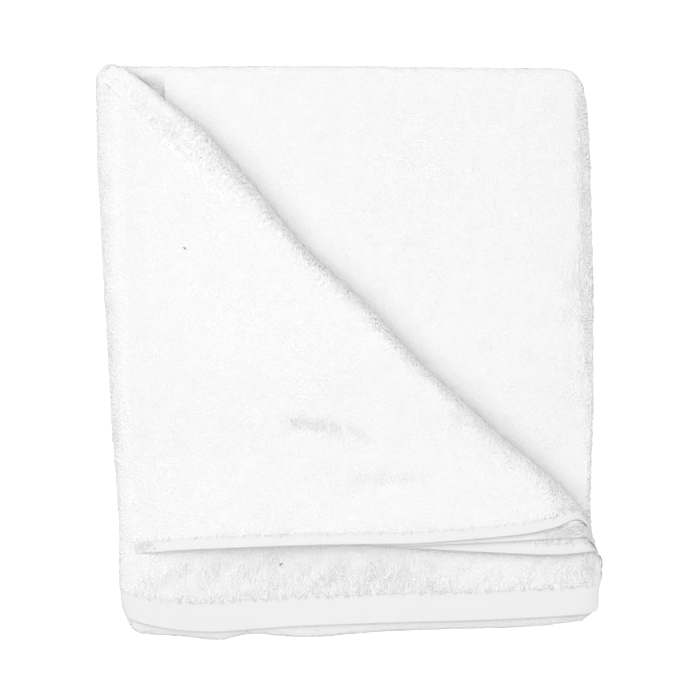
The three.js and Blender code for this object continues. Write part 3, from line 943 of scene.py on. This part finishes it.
def cloth_relief(tree, cloth, across, along, hem):
    """The fine relief of the cotton: loops and yarn on the terry, a flat weave on the hems."""
    nodes, links = tree.nodes, tree.links
    loops = add_node(nodes, "ShaderNodeTexVoronoi", Scale=LOOP_SCALE)
    links.new(cloth, loops.inputs["Vector"])
    yarn = add_node(nodes, "ShaderNodeTexNoise", Scale=YARN_SCALE, Detail=YARN_DETAIL)
    links.new(cloth, yarn.inputs["Vector"])
    terry = calculate(tree, "ADD", loops.outputs["Distance"], yarn.outputs["Fac"])
    relief = nodes.new("ShaderNodeMix")
    links.new(hem, relief.inputs["Factor"])
    links.new(terry, relief.inputs["A"])
    links.new(weave_height(tree, across, along), relief.inputs["B"])
    bump = add_node(nodes, "ShaderNodeBump", Strength=BUMP_STRENGTH, Distance=BUMP_DEPTH)
    links.new(relief.outputs["Result"], bump.inputs["Height"])
    return bump.outputs["Normal"]


def terry_material(white, roughness, sheen):
    """White cotton terry with flat woven hems."""
    material = bpy.data.materials.new("white terry")
    material.use_nodes = True
    tree = material.node_tree
    shader = tree.nodes["Principled BSDF"]
    shader.inputs["Roughness"].default_value = roughness
    shader.inputs["Sheen Weight"].default_value = sheen
    shader.inputs["Sheen Roughness"].default_value = SHEEN_ROUGHNESS
    shader.inputs["Specular IOR Level"].default_value = SPECULAR

    cloth = add_node(tree.nodes, "ShaderNodeUVMap", uv_map="cloth").outputs["UV"]
    place = tree.nodes.new("ShaderNodeSeparateXYZ")
    tree.links.new(cloth, place.inputs["Vector"])
    across, along = place.outputs["X"], place.outputs["Y"]
    hem = hem_share(tree, across, along)
    tree.links.new(cloth_colour(tree, cloth, hem, white), shader.inputs["Base Color"])
    tree.links.new(cloth_relief(tree, cloth, across, along, hem), shader.inputs["Normal"])
    return material


def stand(name, data, place):
    """Puts a light or the camera in the scene at its place."""
    thing = bpy.data.objects.new(name, data)
    thing.location = place
    bpy.context.scene.collection.objects.link(thing)
    return thing


def make_floor():
    """A plain white floor that shines a little, so that the cloth lies on clean white."""
    bm = bmesh.new()
    bmesh.ops.create_grid(bm, x_segments=1, y_segments=1, size=FLOOR_SIZE)
    mesh = bpy.data.meshes.new("floor")
    bm.to_mesh(mesh)
    bm.free()
    material = bpy.data.materials.new("plain white floor")
    material.use_nodes = True
    shader = material.node_tree.nodes["Principled BSDF"]
    shader.inputs["Base Color"].default_value = FLOOR_COLOUR
    shader.inputs["Roughness"].default_value = FLOOR_ROUGHNESS
    shader.inputs["Emission Color"].default_value = (1, 1, 1, 1)
    shader.inputs["Emission Strength"].default_value = FLOOR_SHINE
    mesh.materials.append(material)
    floor = stand("floor", mesh, (0, 0, 0))
    floor.visible_diffuse = False


def make_sky(strength):
    """Even light from all round, brighter from below as from a white floor."""
    world = bpy.data.worlds.new("studio")
    world.use_nodes = True
    nodes, links = world.node_tree.nodes, world.node_tree.links
    nodes["Background"].inputs["Color"].default_value = (1, 1, 1, 1)
    way = nodes.new("ShaderNodeTexCoord")
    height = nodes.new("ShaderNodeSeparateXYZ")
    above = nodes.new("ShaderNodeMapRange")
    above.inputs["From Min"].default_value = -HORIZON
    above.inputs["From Max"].default_value = HORIZON
    above.inputs["To Min"].default_value = strength * FLOOR_GLOW
    above.inputs["To Max"].default_value = strength
    links.new(way.outputs["Generated"], height.inputs["Vector"])
    links.new(height.outputs["Z"], above.inputs["Value"])
    links.new(above.outputs["Result"], nodes["Background"].inputs["Strength"])
    bpy.context.scene.world = world


def make_lamp(power):
    """A small soft lamp above the cloth."""
    data = bpy.data.lights.new("soft lamp", "AREA")
    data.energy = power
    data.shape = "DISK"
    data.size = LAMP_SIZE
    stand("soft lamp", data, LAMP_PLACE).visible_camera = False


def make_overhead_light(strength):
    """The broad main light, nearly overhead."""
    data = bpy.data.lights.new("overhead light", "SUN")
    data.energy = strength
    data.angle = OVERHEAD_SPREAD
    light = stand("overhead light", data, OVERHEAD_PLACE)
    light.rotation_euler = (-light.location).to_track_quat("-Z", "Y").to_euler()


def make_camera(height, width):
    """The camera, straight above the cloth, with a view as wide as asked at the height of the cloth."""
    data = bpy.data.cameras.new("camera")
    data.sensor_fit = "HORIZONTAL"
    data.angle = 2 * math.atan(width / 2 / (height - VIEW_PLANE))
    bpy.context.scene.camera = stand("camera", data, (CAMERA_X, CAMERA_Y, height))


class TowelSizes(bpy.types.PropertyGroup):
    """What a user would change about the towel."""

    white: bpy.props.FloatVectorProperty(
        name="Cloth colour",
        description="Colour of the cotton",
        default=(0.9, 0.9, 0.9),
        subtype="COLOR",
        min=0,
        max=1,
    )
    roughness: bpy.props.FloatProperty(
        name="Roughness", description="How matt the cotton is", default=0.95, min=0, max=1
    )
    sheen: bpy.props.FloatProperty(
        name="Sheen", description="Soft light caught by the fibres", default=0.15, min=0, max=1
    )


class StageSizes(bpy.types.PropertyGroup):
    """What a user would change about the stage."""

    camera_height: bpy.props.FloatProperty(
        name="Camera height",
        description="How high the camera stands above the surface",
        default=2.6,
        unit="LENGTH",
    )
    view_width: bpy.props.FloatProperty(
        name="View width",
        description="How much of the scene the picture spans at the height of the cloth",
        default=0.504,
        unit="LENGTH",
    )
    lamp_power: bpy.props.FloatProperty(
        name="Lamp power", description="Power of the soft lamp", default=0.85, unit="POWER", min=0
    )
    overhead_light: bpy.props.FloatProperty(
        name="Overhead light",
        description="Broad light from above, a little from the back",
        default=1.87,
        min=0,
    )
    sky: bpy.props.FloatProperty(name="Sky light", description="Light from all round", default=0.43, min=0)


class TOWEL_OT_cloth(bpy.types.Operator):
    """Make the folded cloth"""

    bl_idname = "towel.cloth"
    bl_label = "Folded cloth"

    def execute(self, context):
        sizes = context.scene.towel_sizes
        mesh = flat_slab()
        flat = places(mesh)
        u, v, face = flat.T
        points = lay(u, v, face * half_thickness(u, v))
        points[:, 2] = np.maximum(points[:, 2], 0)
        move(mesh, points * MM)
        put_cloth_places(mesh, u, v)
        smooth_faces(mesh)
        cloth = put_in_scene(mesh, "folded_cloth")
        mesh.materials.append(terry_material(sizes.white, sizes.roughness, sizes.sheen))
        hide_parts(NODE)
        return {"FINISHED"}


class TOWEL_OT_pile(bpy.types.Operator):
    """Make the looped pile that can be seen on the folded cloth"""

    bl_idname = "towel.pile"
    bl_label = "Looped pile"

    def execute(self, context):
        cloth = bpy.data.objects["folded_cloth"]
        for name, *zone, face in PILE_ZONES:
            u, v = pile_places(*zone, face)
            order = np.argsort(v, kind="stable")
            batches = np.array_split(order, math.ceil(len(u) / LOOPS_A_PIECE))
            for number, batch in enumerate(batches, 1):
                mesh = plant_loops(f"{name}_{number}", u[batch], v[batch], face)
                mesh.materials.append(cloth.data.materials[0])
                put_in_scene(mesh, mesh.name)
        return {"FINISHED"}


class TOWEL_OT_stage(bpy.types.Operator):
    """Make the floor, the light and the camera"""

    bl_idname = "towel.stage"
    bl_label = "Stage"

    def execute(self, context):
        sizes = context.scene.stage_sizes
        make_floor()
        make_sky(sizes.sky)
        make_lamp(sizes.lamp_power)
        make_overhead_light(sizes.overhead_light)
        make_camera(sizes.camera_height, sizes.view_width)
        context.scene.view_settings.view_transform = "Standard"
        return {"FINISHED"}


class TOWEL_PT_panel(bpy.types.Panel):
    """Lists the sizes and the steps that make the towel"""

    bl_label = "Folded bath towel"
    bl_idname = "TOWEL_PT_panel"
    bl_space_type = "VIEW_3D"
    bl_region_type = "UI"
    bl_category = "Towel"

    def draw(self, context):
        for group in (context.scene.towel_sizes, context.scene.stage_sizes):
            for name in group.__annotations__:
                self.layout.prop(group, name)
        for operator in OPERATORS:
            self.layout.operator(operator.bl_idname)


OPERATORS = (TOWEL_OT_stage, TOWEL_OT_cloth, TOWEL_OT_pile)
CLASSES = (TowelSizes, StageSizes, *OPERATORS, TOWEL_PT_panel)


def register():
    """Adds the classes and their settings."""
    for item in CLASSES:
        bpy.utils.register_class(item)
    bpy.types.Scene.towel_sizes = bpy.props.PointerProperty(type=TowelSizes)
    bpy.types.Scene.stage_sizes = bpy.props.PointerProperty(type=StageSizes)


def unregister():
    """Takes the settings and the classes away again."""
    del bpy.types.Scene.stage_sizes
    del bpy.types.Scene.towel_sizes
    for item in reversed(CLASSES):
        bpy.utils.unregister_class(item)


def main():
    """Registers the add-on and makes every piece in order."""
    register()
    bpy.ops.towel.stage()
    bpy.ops.towel.cloth()
    bpy.ops.towel.pile()


if __name__ == "__main__":
    main()
